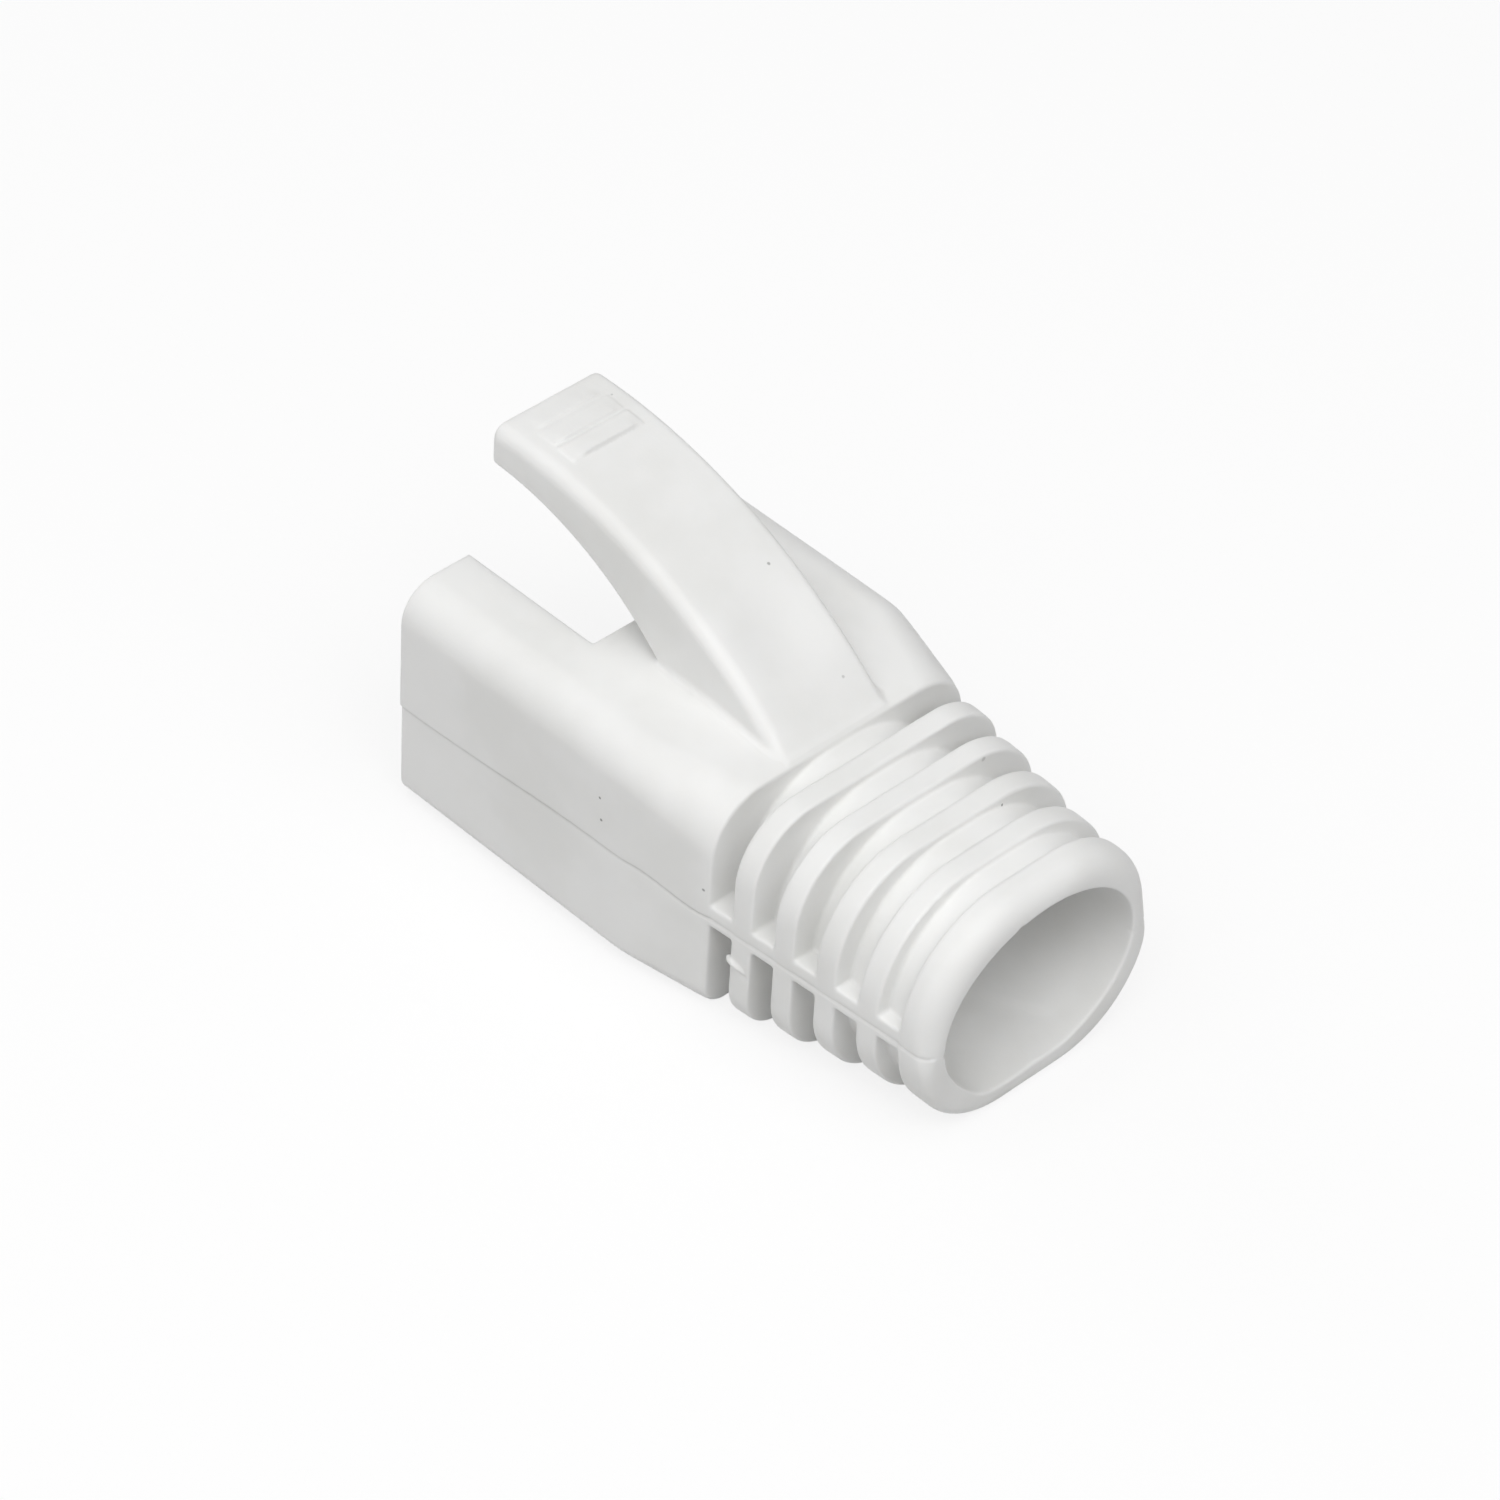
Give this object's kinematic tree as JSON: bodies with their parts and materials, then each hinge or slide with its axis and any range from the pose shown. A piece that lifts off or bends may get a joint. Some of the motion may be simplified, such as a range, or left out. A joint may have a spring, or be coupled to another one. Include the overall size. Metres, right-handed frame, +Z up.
{
  "type": "rj45 strain relief boot",
  "caption": "Soft one-piece boot that slides over a modular plug, with a ribbed cable sleeve and an arched tongue over the latch.",
  "frame": {"origin": "centre of the bottom of the bounding box, under the middle of the boot", "axes": "+X runs along the boot from the plug's mouth to the cable end, +Y across it, +Z up towards the tongue"},
  "size_m": [0.0266, 0.0142, 0.0159],
  "materials": {
    "boot_plastic": "satin"
  },
  "bodies": {
    "root": {"boot": "boot_plastic"}
  },
  "joints": []
}
